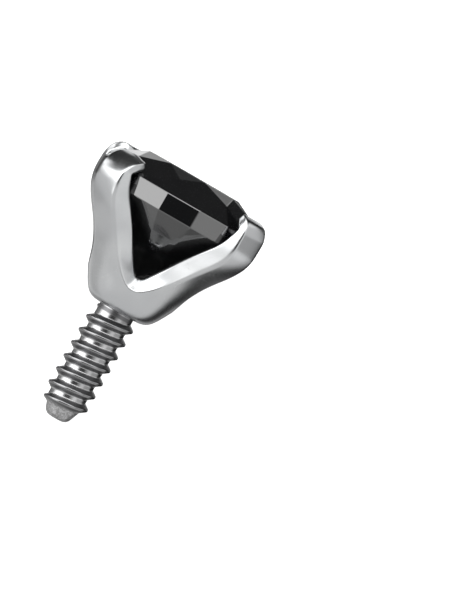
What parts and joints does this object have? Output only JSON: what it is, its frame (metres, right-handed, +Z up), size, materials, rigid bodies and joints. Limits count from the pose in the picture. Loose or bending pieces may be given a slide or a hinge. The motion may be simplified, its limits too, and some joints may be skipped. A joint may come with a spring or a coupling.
{
  "type": "dermal anchor top",
  "caption": "Round black stone in a polished four-prong head on a short threaded post, lying on its side as a loose piece rests.",
  "frame": {"origin": "centre of the bounding box on the floor plane", "axes": "+Z up; the piece lies on its side along Y, head toward +Y and slightly raised, post toward -Y"},
  "size_m": [0.0044, 0.007, 0.0043],
  "materials": {
    "polished_steel": "polished, softly rounded edges",
    "black_stone": "opaque black, polished flat facets",
    "dark_steel": "as rolled, darker than the head"
  },
  "bodies": {
    "root": {"setting": "polished_steel", "stone": "black_stone", "threaded_post": "dark_steel"}
  },
  "joints": []
}
